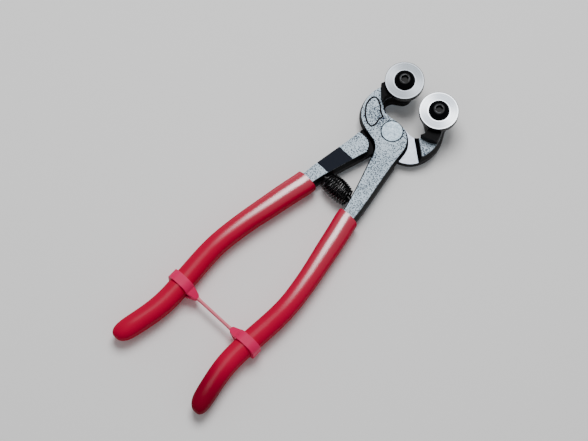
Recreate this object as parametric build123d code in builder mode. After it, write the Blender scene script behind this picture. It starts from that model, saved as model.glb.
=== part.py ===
"""Wheeled mosaic glass nippers: two half-lapped pincer arms on a rivet, a round cutting wheel
screwed on each jaw, a barrel spring between the shanks, dipped grips and a keeper strap.

Millimetres. X runs across the tool, +Y toward the jaws, +Z up. The tool lies flat and open.
The bottom arm has its jaw at +X and its handle at -X, the top arm is its mirror image.
"""
import os
from math import copysign, cos, hypot, pi, sin

from build123d import *

# ---- driving dimensions -------------------------------------------------------------------
PIVOT_Y = 77.65         # pivot axis in Y, so that the whole tool is centred on Y = 0
MID_Z = 8.7             # plane the two arms share: both handles are centred on it
ARM_T = 10.0            # forged arm thickness
LAP_GAP = 0.05          # running gap between the two lap faces
SHOULDER_X = 0.61558    # direction from the pivot square to the jaw's shoulder
SHOULDER_Y = 0.78806
SHOULDER_OUT = 12.0     # foot of the shoulder from the pivot
SLOPE = 2.4             # run of the sloping shoulder over half the thickness
DRAFT = 1.2             # how far the upper flanks lean in over half the thickness
SEAT_RISE = 6.5         # wheel seat above the arm's face
TANG_T = 8.0            # tang thickness inside the grip
TANG_HALF = 3.5         # half width of the tang
GRIP_START = -52.5      # Y of the grip's mouth, from the pivot
GRIP_END = -190.3       # Y of the grip's tip, from the pivot

WHEEL_R = 11.1          # cutting wheel, 7/8 inch
WHEEL_T = 4.2
WHEEL_BORE_R = 3.05
WHEEL_X = 13.0          # wheel axis from the pivot
WHEEL_Y = 23.9
SCREW_R = 2.97          # M6 shank
SCREW_HOLE_R = 3.02
SCREW_DEPTH = 10.0      # thread depth below the wheel seat
HEAD_R = 5.85           # domed head, a little over a stock button head
HEAD_H = 3.3
SOCKET_AF = 4.0         # hexagon across flats
SOCKET_DEPTH = 2.1

RIVET_R = 4.0
RIVET_HOLE_R = 4.05
RIVET_HEAD_R = 6.1
RIVET_RECESS_R = 6.45
RIVET_RECESS_T = 1.4

SPRING_Y = -44.4        # spring axis, from the pivot
SPRING_HALF = 8.3       # half length of the spring at rest
SPRING_WIRE_R = 0.6
SPRING_FAN = 0.0285     # how much shorter the spring is per mm toward the pivot
SPRING_TURNS = 10
SPRING_END_R = 4.5      # mean coil radius at the ends
SPRING_MID_R = 5.8      # mean coil radius in the middle
PEG_R = 2.0
PEG_HOLE_R = 2.05
PEG_IN = 12.4           # peg end inside the arm, from the centre plane
PEG_OUT = 5.6           # peg end inside the spring

STRAP_Y = -143.5        # keeper strap, from the pivot
STRAP_W = 5.8           # band width along the handle
STRAP_T = 1.2           # band thickness
STRAP_TIP = 12.4        # where the loop's tip ends and the stem starts
STEM_W = 2.2
STEM_H = 4.0

GROOVE_W = 1.0          # sunk outline on the top arm's jaw
GROOVE_T = 0.5
PANEL_Y = (-42.2, -26.9)    # sunk blank panel on the bottom arm's shank, from the pivot
PANEL_T = 0.4

Z_UNDER = MID_Z - ARM_T / 2
Z_TOP = MID_Z + ARM_T / 2
Z_SEAT = Z_TOP + SEAT_RISE
Z_WHEEL = Z_SEAT + LAP_GAP

# grip stations: Y from the pivot, centre X, width, thickness
GRIP_STATIONS = [
    (-52.5, 15.7, 13.0, 14.6),
    (-61.0, 17.3, 13.1, 15.0),
    (-71.0, 19.4, 12.8, 15.0),
    (-81.5, 21.5, 12.3, 15.0),
    (-92.0, 23.6, 11.7, 15.0),
    (-102.0, 25.2, 11.4, 15.0),
    (-112.0, 26.3, 11.2, 15.0),
    (-122.5, 26.4, 11.4, 15.0),
    (-132.5, 25.8, 11.6, 15.0),
    (-143.5, 25.0, 11.7, 15.0),
    (-153.0, 24.5, 11.6, 15.0),
    (-163.0, 25.0, 11.5, 15.0),
    (-173.5, 26.8, 11.4, 15.0),
    (-182.0, 28.6, 11.1, 14.4),
    (-186.5, 29.5, 9.7, 12.4),
    (-189.3, 30.1, 6.6, 8.6),
    (GRIP_END, 30.3, 2.8, 3.6),
]


# arm outline at its widest, jaw at +X, clockwise: X, and Y from the pivot
ARM_RUNS = [
    (Spline, [(-7.6, 5.0), (-3.8, 6.9), (0.5, 7.3), (5.0, 6.8), (9.0, 6.5), (12.3, 7.8),
              (14.2, 10.4), (13.8, 12.9), (11.6, 15.2)]),
    (Line, [(11.6, 15.2), (8.0, 17.6)]),
    (ThreePointArc, [(8.0, 17.6), (6.7, 19.6), (6.5, 22.8)]),
    (ThreePointArc, [(6.5, 22.8), (13.1, 29.6), (19.8, 22.8)]),
    (Spline, [(19.8, 22.8), (22.6, 17.6), (24.4, 12.6), (24.9, 7.2), (23.9, 1.6), (21.3, -3.8),
              (17.6, -7.4), (12.4, -9.7), (6.0, -11.2)]),
    (Spline, [(6.0, -11.2), (2.2, -13.0), (-0.7, -17.4)]),
    (Spline, [(-0.7, -17.4), (-3.9, -27.5), (-7.7, -39.5), (-11.0, GRIP_START)]),
    (Line, [(-11.0, GRIP_START), (-20.3, GRIP_START)]),
    (Spline, [(-20.3, GRIP_START), (-18.9, -41.0), (-16.2, -25.5), (-14.2, -12.5)]),
    (Spline, [(-14.2, -12.5), (-13.5, -5.0), (-12.6, -1.0), (-10.6, 2.3), (-7.6, 5.0)]),
]


def level(z):
    """Horizontal sketch plane at height z, with its origin on the pivot axis."""
    return Plane(origin=(0, PIVOT_Y, z))


def across(y, x=0.0):
    """Upright sketch plane facing -Y, y from the pivot; its own +Y is +Z up from MID_Z."""
    return Plane(origin=(x, PIVOT_Y + y, MID_Z), x_dir=(1, 0, 0), z_dir=(0, -1, 0))


def pts(side, points):
    """Mirror a list of plan points for the arm whose jaw is on the given side."""
    return [(side * x, y) for x, y in points]


def inset_loop(runs, amount):
    """Moves every point of a clockwise closed outline inward, square to its neighbours' chord."""
    loop = [point for _, run in runs for point in run[:-1]]
    moved = {}
    for i, (x, y) in enumerate(loop):
        before, after = loop[i - 1], loop[(i + 1) % len(loop)]
        in_x, in_y = after[1] - before[1], before[0] - after[0]
        size = hypot(in_x, in_y)
        if y == GRIP_START:
            moved[x, y] = (x + copysign(amount, in_x), y)
        else:
            moved[x, y] = (x + amount * in_x / size, y + amount * in_y / size)
    return [(kind, [moved[point] for point in run]) for kind, run in runs]


def arm_outline(side, inset=0.0):
    """Plan outline of one arm down to the grip's mouth, jaw on the given side."""
    for kind, run in inset_loop(ARM_RUNS, inset):
        kind(*pts(side, run))


def tang_outline(side):
    """Plan outline of the tang that runs down inside the grip."""
    centre = [(-x, y) for y, x, w, t in GRIP_STATIONS[:-3]]
    inner = [(x + TANG_HALF, y) for x, y in centre]
    outer = [(x - TANG_HALF, y) for x, y in centre]
    Spline(*pts(side, inner))
    Line(*pts(side, [inner[-1], outer[-1]]))
    Spline(*pts(side, outer[::-1]))
    Line(*pts(side, [outer[0], inner[0]]))


def boss_area(side, rounded):
    """Plan area of the raised wheel seat: round milled on one arm, straight on the other."""
    if rounded:
        with Locations((side * WHEEL_X, WHEEL_Y)):
            Circle(16.0)
        shoulder_area(side, SLOPE + 0.15, Mode.INTERSECT)
    else:
        Polygon(*pts(side, [(11.0, 8.0), (15.0, 8.2), (17.8, 9.8), (22.4, 14.9), (28.0, 21.1),
                            (28.0, 34.0), (4.0, 34.0), (4.0, 8.0)]), align=None)


def shoulder_area(side, shift=0.0, mode=Mode.ADD):
    """Plan area beyond the jaw's straight shoulder, shift further out than its foot."""
    foot = SHOULDER_OUT + shift
    ends = [(SHOULDER_X * foot - SHOULDER_Y * run, SHOULDER_Y * foot + SHOULDER_X * run)
            for run in (12.0, -21.5)]
    Polygon(*pts(side, ends + [(40.0, 20.0), (14.0, 40.0)]), align=None, mode=mode)


def shank_limit(side):
    """Closed plan outline around the shank, below the curved end of the lap."""
    Spline(*pts(side, [(-16.0, -13.6), (-10.0, -12.7), (-5.8, -13.5), (-3.2, -16.2),
                       (-2.0, -19.5), (0.0, -24.0), (3.0, -28.0)]))
    Polyline(*pts(side, [(3.0, -28.0), (3.0, -60.0), (-30.0, -60.0), (-30.0, -13.6),
                         (-16.0, -13.6)]))


def groove_outline(side):
    """Plan outline of the sunk line on the jaw."""
    Polygon(*pts(side, [(17.7, 8.7), (20.4, 9.2), (22.1, 7.6), (22.5, 5.2), (21.8, 1.9),
                        (19.9, -1.4), (16.6, -4.5), (13.2, -6.3), (10.4, -6.3), (9.2, -4.6),
                        (9.3, -1.6), (9.8, 0.6), (9.0, 3.1), (12.1, 4.5), (14.8, 7.0)]),
            align=None)


def build_tang(side):
    """Tang of one arm; also the hollow of its grip."""
    with BuildPart() as tang:
        with BuildSketch(level(MID_Z - TANG_T / 2)):
            with BuildLine():
                tang_outline(side)
            make_face()
        extrude(amount=TANG_T)
    return tang.part


def build_envelope(side):
    """All that an arm may fill: upright below MID_Z, leaning inward above it."""
    with BuildPart() as envelope:
        for z, inset in ((MID_Z, 0.0), (Z_TOP, DRAFT)):
            with BuildSketch(level(z)):
                with BuildLine():
                    arm_outline(side, inset)
                make_face()
        loft(ruled=True)
        with BuildSketch(level(Z_UNDER)):
            with BuildLine():
                arm_outline(side)
            make_face()
        extrude(amount=ARM_T / 2)
    return envelope.part


def build_arm(on_top, tang):
    """One forged arm, jaw at +X. The lap faces of the two arms meet at MID_Z."""
    side = 1
    lap_z = MID_Z + LAP_GAP if on_top else MID_Z
    shared_z = lap_z if on_top else Z_UNDER
    shared_t = Z_TOP - lap_z if on_top else lap_z - Z_UNDER
    rest_z = Z_UNDER if on_top else lap_z
    rest_t = lap_z - Z_UNDER if on_top else Z_TOP - lap_z
    with BuildPart() as arm:
        # the half of the thickness that runs unbroken from jaw to shank
        with BuildSketch(level(shared_z)):
            with BuildLine():
                arm_outline(side)
            make_face()
        extrude(amount=shared_t)
        # the other half, only on the jaw and on the shank, clear of the other arm's hub
        with BuildSketch(level(rest_z)):
            shoulder_area(side)
            with BuildLine():
                shank_limit(side)
            make_face()
            with BuildSketch(level(rest_z), mode=Mode.INTERSECT):
                with BuildLine():
                    arm_outline(side)
                make_face()
        extrude(amount=rest_t)
        # sloping shoulder: its foot stays, its top edge lies further out
        foot = rest_t if on_top else -rest_t
        slope = [(-0.5, 0), (SLOPE, 0), (0, foot), (-0.5, 0.99 * foot)]
        edge_z = Z_TOP if not on_top else Z_UNDER
        start = Vector(side * (SHOULDER_X * SHOULDER_OUT + SHOULDER_Y * 21.5),
                       PIVOT_Y + SHOULDER_Y * SHOULDER_OUT - SHOULDER_X * 21.5, edge_z)
        out = Vector(side * SHOULDER_X, SHOULDER_Y, 0)
        along = Vector(-side * SHOULDER_Y, SHOULDER_X, 0)
        with BuildSketch(Plane(origin=start, x_dir=out, z_dir=along)) as wedge:
            up = 1 if Plane(origin=start, x_dir=out, z_dir=along).y_dir.Z > 0 else -1
            Polygon(*[(x, up * y) for x, y in slope], align=None)
        extrude(amount=32, both=True, mode=Mode.SUBTRACT)
        # drafted upper flanks, upright lower ones
        add(build_envelope(side), mode=Mode.INTERSECT)
        # raised wheel seat
        with BuildSketch(level(Z_TOP)):
            boss_area(side, not on_top)
            with BuildSketch(level(Z_TOP), mode=Mode.INTERSECT):
                with BuildLine():
                    arm_outline(side, DRAFT)
                make_face()
        extrude(amount=SEAT_RISE)
        with BuildSketch(level(Z_SEAT)):
            with Locations((side * WHEEL_X, WHEEL_Y)):
                Circle(SCREW_HOLE_R)
        extrude(amount=-(SCREW_DEPTH + 0.6), mode=Mode.SUBTRACT)
        # sunk outline on one jaw, blank sunk panel across the other arm's shank
        if on_top:
            with BuildSketch(level(Z_TOP)):
                groove_outline(side)
                offset(amount=-GROOVE_W, kind=Kind.INTERSECTION, mode=Mode.SUBTRACT)
            extrude(amount=-GROOVE_T, mode=Mode.SUBTRACT)
        else:
            with BuildSketch(level(Z_TOP)):
                with Locations((0, sum(PANEL_Y) / 2)):
                    Rectangle(60, PANEL_Y[1] - PANEL_Y[0])
            extrude(amount=-PANEL_T, mode=Mode.SUBTRACT)
        # rivet hole and the shallow recess for the rivet's head on the outer face
        with BuildSketch(level(Z_UNDER)):
            Circle(RIVET_HOLE_R)
        extrude(amount=ARM_T, mode=Mode.SUBTRACT)
        with BuildSketch(level(Z_TOP if on_top else Z_UNDER)):
            Circle(RIVET_RECESS_R)
        extrude(amount=-RIVET_RECESS_T if on_top else RIVET_RECESS_T, mode=Mode.SUBTRACT)
        # blind hole for the spring peg
        with BuildSketch(Plane(origin=(-side * 5.0, PIVOT_Y + SPRING_Y, MID_Z),
                               z_dir=(-side, 0, 0))):
            Circle(PEG_HOLE_R)
        extrude(amount=PEG_IN - 5.0 + 0.3, mode=Mode.SUBTRACT)
        add(tang)
    return arm.part


def build_grip(side, tang):
    """Dipped vinyl grip: an oval sleeve with a closed rounded tip, hollow over the tang."""
    with BuildPart() as grip:
        for y, x, w, t in GRIP_STATIONS:
            with BuildSketch(across(y, -side * x)):
                RectangleRounded(w, t, 0.44 * w)
        loft()
        add(tang, mode=Mode.SUBTRACT)
    return grip.part


def build_collar(side, grip):
    """Loop of the keeper strap that hugs one grip and narrows to a tip at the stem."""
    y, x, w, t = GRIP_STATIONS[9]
    half = t / 2 + STRAP_T
    tip = -side * STRAP_TIP
    mid = -side * x
    with BuildPart() as collar:
        with BuildSketch(across(STRAP_Y - STRAP_W / 2)):
            with Locations((mid, 0)):
                RectangleRounded(w + 2 * STRAP_T + 0.7, 2 * half, 0.46 * w)
            Polygon((mid, half), (tip, 1.9), (tip, -1.9), (mid, -half), align=None)
        extrude(amount=-STRAP_W)
        # plan shape: full width at the handle, narrower and rounded at the tip
        with BuildSketch(level(0)):
            with BuildLine():
                outer = -side * (x + w / 2 + 3)
                near = -side * (x - w / 2 - 1)
                edge = -side * (STRAP_TIP + 1.5)
                Polyline((edge, STRAP_Y + 1.8), (near, STRAP_Y + STRAP_W / 2),
                         (outer, STRAP_Y + STRAP_W / 2), (outer, STRAP_Y - STRAP_W / 2),
                         (near, STRAP_Y - STRAP_W / 2), (edge, STRAP_Y - 1.8))
                ThreePointArc((edge, STRAP_Y - 1.8), (tip, STRAP_Y), (edge, STRAP_Y + 1.8))
            make_face()
        extrude(amount=40, mode=Mode.INTERSECT)
        # the open eye between the grip and the tip
        with BuildSketch(across(STRAP_Y - STRAP_W)):
            Polygon((mid, half - 1.6), (tip - side * 3.4, 0.5), (tip - side * 3.4, -0.5),
                    (mid, 1.6 - half), align=None)
        extrude(amount=-2 * STRAP_W, mode=Mode.SUBTRACT)
        add(grip, mode=Mode.SUBTRACT)
        with BuildSketch(across(STRAP_Y - STRAP_W)):
            with Locations((mid, 0)):
                Rectangle(w - 2.6, t - 3)
        extrude(amount=-2 * STRAP_W, mode=Mode.SUBTRACT)
    return collar.part


def build_peg(side):
    """Spring peg pressed into the inner flank of one shank."""
    with BuildPart() as peg:
        with BuildSketch(Plane(origin=(-side * PEG_OUT, PIVOT_Y + SPRING_Y, MID_Z),
                               z_dir=(-side, 0, 0))):
            Circle(PEG_R)
        extrude(amount=PEG_IN - PEG_OUT)
        chamfer(peg.edges().filter_by(GeomType.CIRCLE).sort_by(Axis.X)[0 if side < 0 else -1], 0.4)
    return peg.part


def build_wheel(side):
    """Carbide cutting wheel with a plain bore and slightly broken rims."""
    with BuildPart() as wheel:
        with BuildSketch(level(Z_WHEEL)):
            with Locations((side * WHEEL_X, WHEEL_Y)):
                Circle(WHEEL_R)
                Circle(WHEEL_BORE_R, mode=Mode.SUBTRACT)
        extrude(amount=WHEEL_T)
        rims = [e for e in wheel.edges().filter_by(GeomType.CIRCLE) if e.radius > 5]
        chamfer(rims, 0.25)
    return wheel.part


def build_screw(side):
    """Button-head socket screw: domed head, hexagon socket, plain shank in place of thread."""
    head_z = Z_WHEEL + WHEEL_T + LAP_GAP
    x, y = side * WHEEL_X, PIVOT_Y + WHEEL_Y
    with BuildPart() as screw:
        with BuildSketch(Plane(origin=(x, y, head_z), x_dir=(1, 0, 0), z_dir=(0, -1, 0))):
            with BuildLine():
                Polyline((0, HEAD_H), (0, 0), (HEAD_R, 0), (HEAD_R, 0.6))
                ThreePointArc((HEAD_R, 0.6), (4.95, 2.35), (3.1, HEAD_H))
                Line((3.1, HEAD_H), (0, HEAD_H))
            make_face()
        revolve(axis=Axis((x, y, 0), (0, 0, 1)))
        with BuildSketch(Plane(origin=(x, y, head_z + HEAD_H))):
            RegularPolygon(SOCKET_AF / 2, 6, major_radius=False)
        extrude(amount=-SOCKET_DEPTH, mode=Mode.SUBTRACT)
        with BuildSketch(Plane(origin=(x, y, Z_SEAT - SCREW_DEPTH))):
            Circle(SCREW_R)
        extrude(amount=head_z - Z_SEAT + SCREW_DEPTH)
    return screw.part


# ---- the two arms, their grips and what rides on them ---------------------------------------
BOTTOM = 1
TOP = -1

bottom_tang = build_tang(BOTTOM)
top_tang = build_tang(TOP)
parts = {
    "bottom_arm": build_arm(False, bottom_tang),
    "top_arm": mirror(build_arm(True, bottom_tang), about=Plane.YZ),
    "bottom_arm_grip": build_grip(BOTTOM, bottom_tang),
    "top_arm_grip": build_grip(TOP, top_tang),
    "bottom_spring_peg": build_peg(BOTTOM),
    "top_spring_peg": build_peg(TOP),
    "bottom_cutting_wheel": build_wheel(BOTTOM),
    "top_cutting_wheel": build_wheel(TOP),
    "bottom_wheel_screw": build_screw(BOTTOM),
    "top_wheel_screw": build_screw(TOP),
}
parts["bottom_strap_loop"] = build_collar(BOTTOM, parts["bottom_arm_grip"])
parts["top_strap_loop"] = build_collar(TOP, parts["top_arm_grip"])

# ---- pivot rivet: shank through both laps, a head in each outer face ------------------------
with BuildPart() as pivot_rivet:
    with BuildSketch(level(Z_UNDER)):
        Circle(RIVET_R)
    extrude(amount=ARM_T)
    with BuildSketch(level(Z_UNDER - 0.1)):
        Circle(RIVET_HEAD_R)
    extrude(amount=RIVET_RECESS_T + 0.05)
    with BuildSketch(level(Z_TOP + 0.15)):
        Circle(RIVET_HEAD_R)
    extrude(amount=-(RIVET_RECESS_T + 0.1))
    chamfer(pivot_rivet.edges().filter_by(GeomType.CIRCLE).sort_by(Axis.Z)[-1], 0.25)
parts["pivot_rivet"] = pivot_rivet.part

# ---- barrel spring: one wire wound wider in the middle than at its ends ---------------------
coil = []
for i in range(SPRING_TURNS * 12 + 1):
    u = i / (SPRING_TURNS * 12)
    radius = SPRING_END_R + (SPRING_MID_R - SPRING_END_R) * sin(pi * u) ** 0.8
    turn = 2 * pi * SPRING_TURNS * u
    reach = (2 * u - 1) * (SPRING_HALF - SPRING_WIRE_R)
    coil.append((reach * (1 - SPRING_FAN * radius * cos(turn)),
                 PIVOT_Y + SPRING_Y + radius * cos(turn),
                 MID_Z + radius * sin(turn)))
with BuildPart() as return_spring:
    with BuildLine() as wire:
        Spline(*coil)
    with BuildSketch(Plane(origin=wire.wires()[0] @ 0, z_dir=wire.wires()[0] % 0)):
        Circle(SPRING_WIRE_R)
    sweep(path=wire.wires()[0], is_frenet=True)
parts["return_spring"] = return_spring.part

# ---- stem of the keeper strap, taut between the two loops -----------------------------------
with BuildPart() as strap_stem:
    with BuildSketch(Plane(origin=(-STRAP_TIP, PIVOT_Y + STRAP_Y, MID_Z), z_dir=(1, 0, 0),
                           x_dir=(0, 1, 0))):
        Rectangle(STEM_W, STEM_H)
    extrude(amount=2 * STRAP_TIP)
    add(parts["bottom_strap_loop"], mode=Mode.SUBTRACT)
    add(parts["top_strap_loop"], mode=Mode.SUBTRACT)
parts["strap_stem"] = strap_stem.part

# ---- export ----------------------------------------------------------------------------------
os.makedirs("parts", exist_ok=True)
for name, part in parts.items():
    part.label = name
    export_step(part, f"parts/{name}.step")
    box = part.bounding_box()
    print(name, len(part.solids()), round(part.volume, 1), box.min, box.max)
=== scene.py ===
# %% [markdown]
# # Wheeled glass nippers, lying open on their side
# The tool is two forged arms lapped over each other on a rivet, with a round carbide wheel
# screwed on each jaw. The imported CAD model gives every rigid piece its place, so this lesson
# loads it first and only then adds looks. Everything is in metres: X across the tool,
# +Y toward the wheels and +Z up.

# %% load the frame
import math

import bpy
import numpy as np
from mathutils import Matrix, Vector


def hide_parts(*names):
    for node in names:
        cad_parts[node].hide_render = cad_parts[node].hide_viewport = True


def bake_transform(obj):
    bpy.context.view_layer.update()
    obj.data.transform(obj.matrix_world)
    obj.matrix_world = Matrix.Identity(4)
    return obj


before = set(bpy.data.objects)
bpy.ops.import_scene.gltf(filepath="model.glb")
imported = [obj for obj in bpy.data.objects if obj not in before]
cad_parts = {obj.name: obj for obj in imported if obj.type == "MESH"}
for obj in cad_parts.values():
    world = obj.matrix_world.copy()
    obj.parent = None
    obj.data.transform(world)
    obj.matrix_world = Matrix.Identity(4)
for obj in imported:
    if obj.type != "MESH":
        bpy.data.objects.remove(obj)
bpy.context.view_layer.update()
MM = 0.001
PIVOT_Y = 77.65 * MM            # the rivet's axis
MID_Z = 8.7 * MM                # plane where the two arms lie on each other
TOP_Z = 13.7 * MM               # upper face of the arms
WHEEL_X, WHEEL_Y = 13.0 * MM, 23.9 * MM     # wheel axis, from the rivet
UNDER_Z = 3.7 * MM              # lower face of the arms
SEAM = 0.1 * MM                 # how closely a face's height must match a named plane
PANEL_Y = -20 * MM              # the blank panel lies on the handle side of this line
RIVET_RIM_R = 5.75 * MM
HUB_HIGHLIGHT_R = (5.95 * MM, 6.45 * MM)         # painted highlight ring beside the screw head
EDGE_HIGHLIGHT_R = (10.3 * MM, 10.7 * MM)        # painted highlight ring inside the rim
RIM_R = 10.9 * MM                           # painted shade: the rim is dark outside this radius
SCREW_HIGHLIGHT_R = (2.05 * MM, 2.6 * MM)          # painted highlight ring round the hexagon
TAIL_Y, TAIL_FADE = -168 * MM, 14 * MM
MOUTH_Y, MOUTH_FADE = -88 * MM, 34 * MM
print("CAD nodes:", sorted(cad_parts))

# %% [markdown]
# ## A wire to do shader sums with
# A material is a graph of nodes, and sums on sockets soon hide what they mean. This small
# class wraps one output socket, so that `1 - mask` or `radius * 900` adds the Math nodes.
# Colours go through a Mix node instead, because a Math node would turn them grey.


# %% the wire class
class Wire:
    """One output socket of a node tree; arithmetic on it adds Math nodes."""

    def __init__(self, tree, socket=None):
        self.tree = tree
        self.socket = socket

    def node(self, kind, settings=(), inputs=(), out=0):
        """Adds a node, its settings first, then its sockets, and returns one of its outputs."""
        made = self.tree.nodes.new("ShaderNode" + kind)
        for name, value in dict(settings).items():
            if name == "stops":
                ramp = made.color_ramp
                while len(ramp.elements) < len(value):
                    ramp.elements.new(0.5)
                for element, (place, grey) in zip(ramp.elements, value):
                    element.position = place
                    element.color = (grey, grey, grey, 1)
            else:
                setattr(made, name, value)
        for name, value in dict(inputs).items():
            if isinstance(value, Wire):
                self.tree.links.new(value.socket, made.inputs[name])
            else:
                made.inputs[name].default_value = value
        return Wire(self.tree, made.outputs[out])

    def sum(self, operation, *others):
        """A Math node on this wire and up to two more wires or numbers."""
        values = dict(enumerate((self,) + others))
        return self.node("Math", {"operation": operation}, values)

    def __add__(self, other):
        return self.sum("ADD", other)

    def __sub__(self, other):
        return self.sum("SUBTRACT", other)

    def __rsub__(self, other):
        return self.node("Math", {"operation": "SUBTRACT"}, {0: other, 1: self})

    def __mul__(self, other):
        return self.sum("MULTIPLY", other)

    __radd__ = __add__
    __rmul__ = __mul__

    def above(self, edge, soft=1e-5):
        """0 below the edge, 1 above it, and a smooth step as wide as soft between."""
        return self.node("MapRange", {"interpolation_type": "SMOOTHSTEP"},
                         {"Value": self, "From Min": edge - soft, "From Max": edge + soft})

    def between(self, low, high, soft=1e-5):
        """1 where the value lies between low and high."""
        return self.above(low, soft) * (1 - self.above(high, soft))

    def ramp(self, *stops):
        """A grey ramp through (place, grey) stops."""
        return self.node("ValToRGB", {"stops": stops}, {"Fac": self})

    def blend(self, a, b):
        """Colour a where this mask is 0, colour b where it is 1."""
        return self.node("Mix", {"data_type": "RGBA"},
                         {0: self, 6: colour(a), 7: colour(b)}, 2)


def colour(value):
    """A wire as it is, or an RGB triple with its alpha added."""
    return value if isinstance(value, Wire) else (*value, 1)


def bump(height, strength, distance):
    """Normal that tilts with a height wire."""
    return height.node("Bump", {}, {"Strength": strength, "Distance": distance,
                                    "Height": height})


def finish_of(name, recipe):
    """A new material whose Principled sockets come from recipe(start wire)."""
    material = bpy.data.materials.new(name)
    material.use_nodes = True
    tree = material.node_tree
    tree.nodes.clear()
    shader = Wire(tree).node("BsdfPrincipled", {}, recipe(Wire(tree)))
    output = tree.nodes.new("ShaderNodeOutputMaterial")
    tree.links.new(shader.socket, output.inputs["Surface"])
    print("material", name, "with", len(tree.nodes), "nodes")
    return material


# %% [markdown]
# ## Where on the tool a point is
# The arms have several finishes at once: ground flats, blacked flanks, bare lap faces. On the
# real tool each belongs to a surface, so the shader works out which surface it is on from the
# object coordinates (height above the bench, distance from the rivet) and from how level the
# face lies. That survives any pose, because the coordinates move with the arm.


# %% position helpers
def place(start):
    """x, y from the rivet, z and the object-space point itself."""
    point = start.node("TexCoord", {}, {}, "Object")
    x, y, z = (point.node("SeparateXYZ", {}, {"Vector": point}, i) for i in range(3))
    return point, x, y - PIVOT_Y, z


def level_part(start):
    """How far the face's own normal points up or down, from 0 on a wall to 1 on a flat."""
    normal = start.node("TexCoord", {}, {}, "Normal")
    return normal.node("SeparateXYZ", {}, {"Vector": normal}, 2).sum("ABSOLUTE")


def noise(point, scale, detail=2.0, rough=0.5, stretch=(1, 1, 1)):
    """Fractal noise on the point, optionally stretched along an axis."""
    mapped = point.node("Mapping", {}, {"Vector": point, "Scale": stretch})
    return mapped.node("TexNoise", {}, {"Vector": mapped, "Scale": scale, "Detail": detail,
                                        "Roughness": rough})


def distance_to(x, y, cx, cy):
    """Distance in plan from the point (cx, cy)."""
    across = x - cx
    along = y - cy
    return (across * across + along * along).sum("SQRT")


# %% [markdown]
# ## Forged arms
# The flats are linished, which leaves the pits of the forging as dark specks in a pale
# blue-grey steel. Everything else is blacked: flanks, shoulders, the raised wheel seats, the
# sunk outline on one jaw and the blank panel on the other shank. The lap faces are ground
# bright, because they slide on each other.


# %% forged steel
def forged_steel(start):
    """Pale specked flats, black flanks and seats, bright lap faces, painted highlight on upper
    edges.
    """
    point, x, y, z = place(start)
    level = level_part(start).above(0.985, 0.01)
    grain = noise(point, 900, 3.0, 0.65)
    cloud = noise(point, 70, 2.0, 0.5)
    brushed = noise(point, 420, 2.0, 0.5, (3.0, 0.25, 1.0))
    pitted = noise(point, 1450, 1.0, 0.5) + 0.30 * (cloud - 0.5)
    pits = pitted.ramp((0.41, 0.0), (0.47, 1.0))
    pale = cloud.blend((0.31, 0.40, 0.48), (0.46, 0.55, 0.62))
    pale = (brushed * 0.4).blend(pale, (0.56, 0.63, 0.69))
    far = distance_to(x, y, 0.0, 0.0).above(26 * MM, 20 * MM)
    flats = ((1 - pits) * (1.0 - 0.2 * far)).blend(pale, (0.012, 0.018, 0.036))
    black = grain.blend((0.0006, 0.0006, 0.0010), (0.0028, 0.0029, 0.0040))
    panel = z.between(TOP_Z - 0.6 * MM, TOP_Z - 0.25 * MM) * x.above(-30 * MM) * level
    black = (panel * (1 - y.above(PANEL_Y))).blend(black, (0.0060, 0.0090, 0.0180))
    lap = (0.6 * brushed + 0.3 * cloud).blend((0.13, 0.15, 0.19), (0.34, 0.37, 0.42))
    at_face = z.between(TOP_Z - SEAM, TOP_Z + SEAM)
    at_face = at_face + z.between(UNDER_Z - SEAM, UNDER_Z + SEAM)
    at_lap = z.between(MID_Z - SEAM, MID_Z + SEAM) * x.above(0.5 * MM, 0.3 * MM)
    # painted highlight: the flanks are lightened just under the upper faces, broken up by the grain
    painted_highlight = z.between(TOP_Z - 0.75 * MM, TOP_Z + 0.05 * MM, 0.1 * MM) * (1 - level)
    painted_highlight = painted_highlight * grain.above(0.47, 0.10) * (1 - x.between(-6 * MM, 6 * MM) * 0.5)
    bright = level * at_face
    bare = level * at_lap
    shade = bright.blend(bare.blend(black, lap), flats)
    shade = (0.65 * painted_highlight).blend(shade, (0.30, 0.33, 0.37))
    rough = 0.50 - 0.14 * bare + 0.10 * bright + 0.20 * (grain - 0.5)
    height = grain * 0.4 + pits * bright
    return {"Base Color": shade, "Metallic": 0.85 * (bright + bare), "Roughness": rough,
            "Specular IOR Level": 0.05, "Normal": bump(height, 0.45, 0.12 * MM)}


# %% [markdown]
# ## Wheels, rivet and screws
# The carbide wheels are ground on a turntable, so their scratches are circles round the
# screw. A painted highlight ring lies near the hub and one inside the edge, a painted radial
# highlight crosses the face, and the rim and wall carry painted shade.
# The screws are black oxide, with a painted highlight ring round the hexagon.


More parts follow.
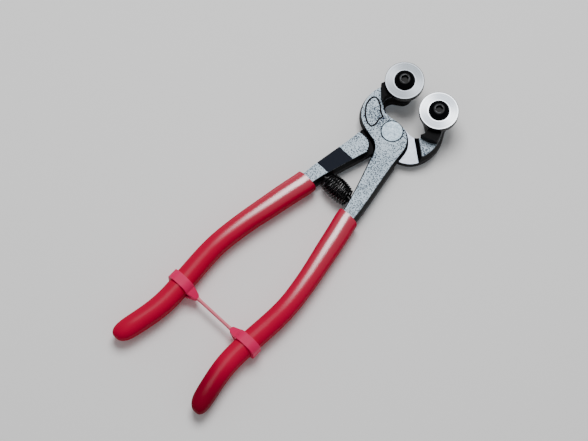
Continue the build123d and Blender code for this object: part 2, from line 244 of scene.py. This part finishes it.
# %% round pieces
def ground_carbide(side, dull, bright, glare):
    """Recipe for one wheel: circular grain about the screw's axis on that side, with a painted
    radial highlight, painted highlight rings and painted shade on the rim and wall.
    """
    def recipe(start):
        point, x, y = place(start)[:3]
        level = level_part(start).above(0.95, 0.03)
        radius = distance_to(x, y, side * WHEEL_X, WHEEL_Y)
        rings = radius.node("TexNoise", {"noise_dimensions": "1D"},
                            {"W": radius, "Scale": 2600, "Detail": 3.0})
        cloud = noise(point, 90, 2.0)
        grain = rings.ramp((0.36, 0.0), (0.64, 1.0))
        face = grain.blend(dull, bright)
        # painted highlight: a radial sheen lightens two opposite sectors of the face
        angle = (y - WHEEL_Y).sum("ARCTAN2", x - side * WHEEL_X)
        radial_highlight = (2 * angle + 1.1).sum("SINE") * 0.5 + 0.5
        face = (0.65 * radial_highlight * radial_highlight).blend(face, glare)
        face = (0.3 * cloud).blend(face, dull)
        # painted highlight rings near the hub and inside the edge
        ring = radius.between(*HUB_HIGHLIGHT_R, 0.1 * MM)
        ring = ring + radius.between(*EDGE_HIGHLIGHT_R, 0.08 * MM)
        face = (0.7 * ring).blend(face, glare)
        # painted shade: the rim outside RIM_R and the wall are near-black
        face = (0.95 * radius.above(RIM_R, 0.06 * MM)).blend(face, (0.004, 0.004, 0.006))
        shade = level.blend((0.0040, 0.0042, 0.0060), face)
        return {"Base Color": shade, "Metallic": 0.85 * level,
                "Roughness": 0.36 + 0.2 * (rings - 0.5), "Specular IOR Level": 0.1,
                "Normal": bump(rings, 0.3, 0.06 * MM)}
    return recipe


def ground_rivet(start):
    """Flush ground rivet head: mottled, with a few pits and a dark line round its rim."""
    point, x, y = place(start)[:3]
    cloud = noise(point, 240, 3.0, 0.6)
    pits = noise(point, 700, 1.0).ramp((0.28, 0.0), (0.36, 1.0))
    fine = noise(point, 1100, 1.5)
    face = fine.ramp((0.38, 0.0), (0.60, 1.0)).blend((0.20, 0.27, 0.33), (0.37, 0.46, 0.53))
    face = (0.4 * cloud).blend(face, (0.31, 0.39, 0.46))
    rim = distance_to(x, y, 0.0, 0.0).above(RIVET_RIM_R, 0.1 * MM)
    face = (0.6 * (1 - pits)).blend(face, (0.10, 0.12, 0.15))
    return {"Base Color": (0.85 * rim).blend(face, (0.03, 0.035, 0.045)), "Metallic": 0.85,
            "Roughness": 0.50 + 0.2 * (cloud - 0.5), "Normal": bump(cloud, 0.2, 0.05 * MM)}


def black_oxide(start):
    """Blacked steel: nearly black, semi gloss, with a fine grain."""
    point = place(start)[0]
    grain = noise(point, 1500, 2.0)
    return {"Base Color": grain.blend((0.0008, 0.0008, 0.0012), (0.0030, 0.0030, 0.0040)),
            "Roughness": 0.20 + 0.12 * (grain - 0.5), "Specular IOR Level": 0.13,
            "Normal": bump(grain, 0.1, 0.03 * MM)}


def spring_enamel(start):
    """Blacked and oiled spring wire: very dark, glossy, so each coil carries a glint."""
    point = place(start)[0]
    oil = noise(point, 60, 2.0)
    return {"Base Color": oil.blend((0.0006, 0.0006, 0.0010), (0.0022, 0.0022, 0.0030)),
            "Roughness": 0.10 + 0.06 * oil, "Specular IOR Level": 0.3,
            "Normal": bump(oil, 0.05, 0.05 * MM)}


def screw_black(side):
    """Recipe for one screw: black oxide with a painted highlight ring round its hexagon."""
    def recipe(start):
        point, x, y, z = place(start)
        sockets = black_oxide(start)
        radius = distance_to(x, y, side * WHEEL_X, WHEEL_Y)
        # painted highlight ring round the hexagon, broken up by noise
        ring = radius.between(*SCREW_HIGHLIGHT_R, 0.12 * MM) * z.above(27.2 * MM, 0.2 * MM)
        painted_highlight = ring * noise(point, 500, 1.0).above(0.42, 0.12)
        sockets["Base Color"] = (0.5 * painted_highlight).blend(sockets["Base Color"], (0.16, 0.165, 0.18))
        sockets["Specular IOR Level"] = 0.04
        return sockets
    return recipe


# %% [markdown]
# ## Dipped vinyl
# The grips are dipped in liquid vinyl. They are glossy toward their mouths, handled dull toward
# the tails, and carry a faint orange peel. The strap is moulded from a softer, paler compound
# with a satin skin, and its stem is paler again where it is pulled thin.


# %% vinyl
def dipped_vinyl(start):
    """Crimson, glossy at the mouths, with painted shade down the sides, and darker on one tail."""
    point, x, y = place(start)[:3]
    mottle = noise(point, 35, 3.0, 0.55)
    peel = noise(point, 420, 2.0)
    shade = mottle.blend((0.440, 0.0000, 0.0300), (0.550, 0.0001, 0.0460))
    level = level_part(start)
    # painted shade: the steep sides are darker
    side_shade = 1 - level.above(0.30, 0.30)
    shade = (0.55 * side_shade).blend(shade, (0.260, 0.0002, 0.0180))
    deep = (1 - y.above(TAIL_Y, TAIL_FADE)) * x.above(0.0, 5 * MM)
    shade = (0.78 * deep).blend(shade, (0.130, 0.0002, 0.0090))
    front = y.above(MOUTH_Y, MOUTH_FADE)
    return {"Base Color": shade, "Roughness": 0.50 + 0.10 * (mottle - 0.5),
            "Specular IOR Level": 0.02,
            "Coat Weight": (0.04 + 0.96 * front) * level.above(0.70, 0.25),
            "Coat Roughness": 0.27, "Coat IOR": 2.1,
            "Normal": bump(peel + 0.6 * mottle, 0.10, 0.10 * MM)}


def moulded_vinyl(start):
    """Satin pink-red strap compound with a fine leathery skin."""
    point = place(start)[0]
    mottle = noise(point, 160, 3.0, 0.6)
    skin = noise(point, 1400, 2.0)
    shade = mottle.blend((0.650, 0.0030, 0.0800), (0.780, 0.0130, 0.1300))
    return {"Base Color": shade, "Roughness": 0.50 + 0.2 * (skin - 0.5),
            "Specular IOR Level": 0.15,
            "Normal": bump(skin + mottle, 0.2, 0.08 * MM)}


def pale_stem(start):
    """The strap compound where it is pulled thin: paler, with a painted highlight along its crest.
    """
    sockets = moulded_vinyl(start)
    z = place(start)[3]
    # painted highlight: the upper crest is lighter
    crest_highlight = (z - MID_Z).above(1.0 * MM, 0.6 * MM)
    sockets["Base Color"] = (0.35 + 0.5 * crest_highlight).blend(sockets["Base Color"], (0.88, 0.26, 0.32))
    return sockets


# %% dress the CAD nodes
VINYL = finish_of("dipped_vinyl", dipped_vinyl)
STRAP = finish_of("moulded_vinyl", moulded_vinyl)
OXIDE = finish_of("black_oxide", black_oxide)
STEEL = finish_of("forged_steel", forged_steel)
FINISHES = {
    "bottom_arm": STEEL, "top_arm": STEEL,
    "pivot_rivet": finish_of("ground_rivet", ground_rivet),
    # The two wheels share one recipe. The right one's colours are painted lighter and the left
    # one's darker, as painted highlight and painted shade for how each meets the light.
    "bottom_cutting_wheel": finish_of("carbide_right", ground_carbide(
        1, (0.160, 0.180, 0.205), (0.300, 0.325, 0.360), (0.80, 0.83, 0.87))),
    "top_cutting_wheel": finish_of("carbide_left", ground_carbide(
        -1, (0.080, 0.090, 0.102), (0.150, 0.165, 0.182), (0.28, 0.30, 0.33))),
    "bottom_wheel_screw": finish_of("screw_right", screw_black(1)),
    "top_wheel_screw": finish_of("screw_left", screw_black(-1)),
    "bottom_spring_peg": OXIDE, "top_spring_peg": OXIDE,
    "bottom_arm_grip": VINYL, "top_arm_grip": VINYL,
    "bottom_strap_loop": STRAP, "top_strap_loop": STRAP,
    "return_spring": OXIDE, "strap_stem": STRAP,
}
for node, material in FINISHES.items():
    for material_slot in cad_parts[node].material_slots:
        material_slot.material = material

# %% [markdown]
# ## Surfaces on a grid
# Every new piece is a grid of points: rows along its length, columns round its section. The
# faces are worked out as one array, the columns wrap round to meet, and both ends get a cap.


# %% grid helper
def grid_piece(name, points):
    """Mesh object from points (rows, columns, 3); columns wrap round, both ends are capped."""
    rows, columns = points.shape[:2]
    index = np.arange(rows * columns).reshape(rows, columns)
    right = np.roll(index, -1, axis=1)
    quads = np.stack([index[:-1], right[:-1], right[1:], index[1:]], axis=-1).reshape(-1, 4)
    faces = quads.tolist() + [index[0, ::-1].tolist(), index[-1].tolist()]
    mesh = bpy.data.meshes.new(name)
    mesh.from_pydata(points.reshape(-1, 3).tolist(), [], faces)
    mesh.polygons.foreach_set("use_smooth", [True] * len(mesh.polygons))
    mesh.update()
    piece = bpy.data.objects.new(name, mesh)
    bpy.context.scene.collection.objects.link(piece)
    print(name, len(mesh.vertices), "points,", len(mesh.polygons), "faces")
    return piece


# %% [markdown]
# ## Return spring
# A barrel spring: one wire wound wider in the middle. A helix is easiest as a formula: the
# centre line turns about the X axis while its radius swells by a sine, and a small circle is
# carried along it on the line's own radial and side directions. It is pressed between the
# two arms.

# %% spring
SPRING_Y = PIVOT_Y - 44.4 * MM
SPRING_HALF = 7.7 * MM          # to the middle of the end wires
TURNS = 10
WIRE = 0.6 * MM                 # half the wire's thickness
STEPS_A_TURN = 36
FAN = 28.5                      # shorter toward the rivet by this share per metre


def spring_points():
    """Centre line (x, r cos a, r sin a), r = 4.5 to 5.8 mm, x less by FAN r cos a, circle on it."""
    u = np.linspace(0, 1, TURNS * STEPS_A_TURN + 1)
    angle = 2 * np.pi * TURNS * u
    radius = (4.5 + 1.3 * np.sin(np.pi * u) ** 0.8) * MM
    reach = (2 * u - 1) * SPRING_HALF * (1 - FAN * radius * np.cos(angle))
    line = np.stack([reach, SPRING_Y + radius * np.cos(angle),
                     MID_Z + radius * np.sin(angle)], axis=-1)
    along = np.gradient(line, axis=0)
    along /= np.linalg.norm(along, axis=1, keepdims=True)
    radial = np.stack([np.zeros_like(u), np.cos(angle), np.sin(angle)], axis=-1)
    sideways = np.cross(along, radial)
    turn = np.linspace(0, 2 * np.pi, 12, endpoint=False)[None, :, None]
    return line[:, None] + WIRE * (np.cos(turn) * radial[:, None]
                                   + np.sin(turn) * sideways[:, None])


spring = grid_piece("barrel_spring", spring_points())
spring.data.materials.append(finish_of("spring_enamel", spring_enamel))
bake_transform(spring)
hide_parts("return_spring")

# %% [markdown]
# ## Strap stem
# The stem is a thin moulded strip pulled tight between the two loops. Its section is an oval,
# deeper than it is wide, which swells where it runs into the loops and carries the shallow
# cross ribs of its mould.

# %% strap stem
STRAP_Y = PIVOT_Y - 143.5 * MM
STEM_HALF = 12.4 * MM
STEM_ROWS, STEM_COLUMNS, RIBS = 181, 24, 26
STEM_WIDE, STEM_DEEP = 0.92 * MM, 1.70 * MM     # half sizes of the oval


def stem_points():
    """Ovals along X: half sizes STEM_WIDE, STEM_DEEP times 1 + 0.13 (2u-1)^8 + 0.04 cos(ribs)."""
    u = np.linspace(0, 1, STEM_ROWS)[:, None]
    swell = 1 + 0.13 * (2 * u - 1) ** 8 + 0.04 * np.cos(2 * np.pi * RIBS * u)
    turn = np.linspace(0, 2 * np.pi, STEM_COLUMNS, endpoint=False)[None]
    x = np.broadcast_to((2 * u - 1) * STEM_HALF, (STEM_ROWS, STEM_COLUMNS))
    y = STRAP_Y + STEM_WIDE * swell * np.cos(turn)
    z = MID_Z + STEM_DEEP * swell * np.sin(turn)
    return np.stack([x, y, z], axis=-1)


stem = grid_piece("ribbed_stem", stem_points())
stem.data.materials.append(finish_of("pale_stem", pale_stem))
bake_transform(stem)
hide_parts("strap_stem")

# %% [markdown]
# ## Stage, light and camera
# A pale floor, one soft box above the far left and a bright world, and a long lens from high
# up, so that the tool shows nearly in plan.

# %% stage
floor_mesh = bpy.data.meshes.new("floor")
FLOOR = 3                       # half its side, in metres
floor_mesh.from_pydata([(-FLOOR, -FLOOR, 0), (FLOOR, -FLOOR, 0), (FLOOR, FLOOR, 0),
                        (-FLOOR, FLOOR, 0)], [], [(0, 1, 2, 3)])
floor = bpy.data.objects.new("floor", floor_mesh)
bpy.context.scene.collection.objects.link(floor)
paper = bpy.data.materials.new("paper")
paper.use_nodes = True
paper_sockets = paper.node_tree.nodes["Principled BSDF"].inputs
paper_sockets["Base Color"].default_value = (0.9, 0.9, 0.9, 1)
paper_sockets["Roughness"].default_value = 0.9
floor.data.materials.append(paper)

world = bpy.data.worlds.new("studio")
bpy.context.scene.world = world
world.use_nodes = True
sky = world.node_tree.nodes["Background"].inputs
sky["Color"].default_value = (1, 1, 1, 1)
sky["Strength"].default_value = 0.33


def aim(thing, spot, target):
    """Stands a lamp or camera at spot, looking at target with its top edge level."""
    thing.location = spot
    thing.rotation_euler = (Vector(target) - Vector(spot)).to_track_quat("-Z", "Y").to_euler()


def soft_box(name, spot, target, size, power):
    """A rectangular area light."""
    lamp = bpy.data.lights.new(name, "AREA")
    lamp.shape = "RECTANGLE"
    lamp.size, lamp.size_y = size
    lamp.energy = power
    made = bpy.data.objects.new(name, lamp)
    bpy.context.scene.collection.objects.link(made)
    aim(made, spot, target)


soft_box("key", (-0.24, 0.30, 1.05), (0, 0, 0), (0.50, 0.50), 11)

# %% camera
AZIMUTH, ELEVATION = math.radians(43.4), math.radians(73.0)
AWAY = 1.5
WIDTH_SEEN = 588 * 0.555 * MM
back = np.array([math.sin(AZIMUTH) * math.cos(ELEVATION),
                 -math.cos(AZIMUTH) * math.cos(ELEVATION), math.sin(ELEVATION)])
right = np.array([math.cos(AZIMUTH), math.sin(AZIMUTH), 0.0])
up = np.cross(back, right)
centre = np.array([0, -0.7 * MM, 8 * MM]) - 0.99 * MM * right + 6.22 * MM * up
lens = bpy.data.cameras.new("camera")
lens.sensor_width = 36
lens.lens = 36 * AWAY / WIDTH_SEEN
camera = bpy.data.objects.new("camera", lens)
bpy.context.scene.collection.objects.link(camera)
aim(camera, centre + AWAY * back, centre)
bpy.context.scene.camera = camera
print("lens", round(lens.lens, 1), "mm")
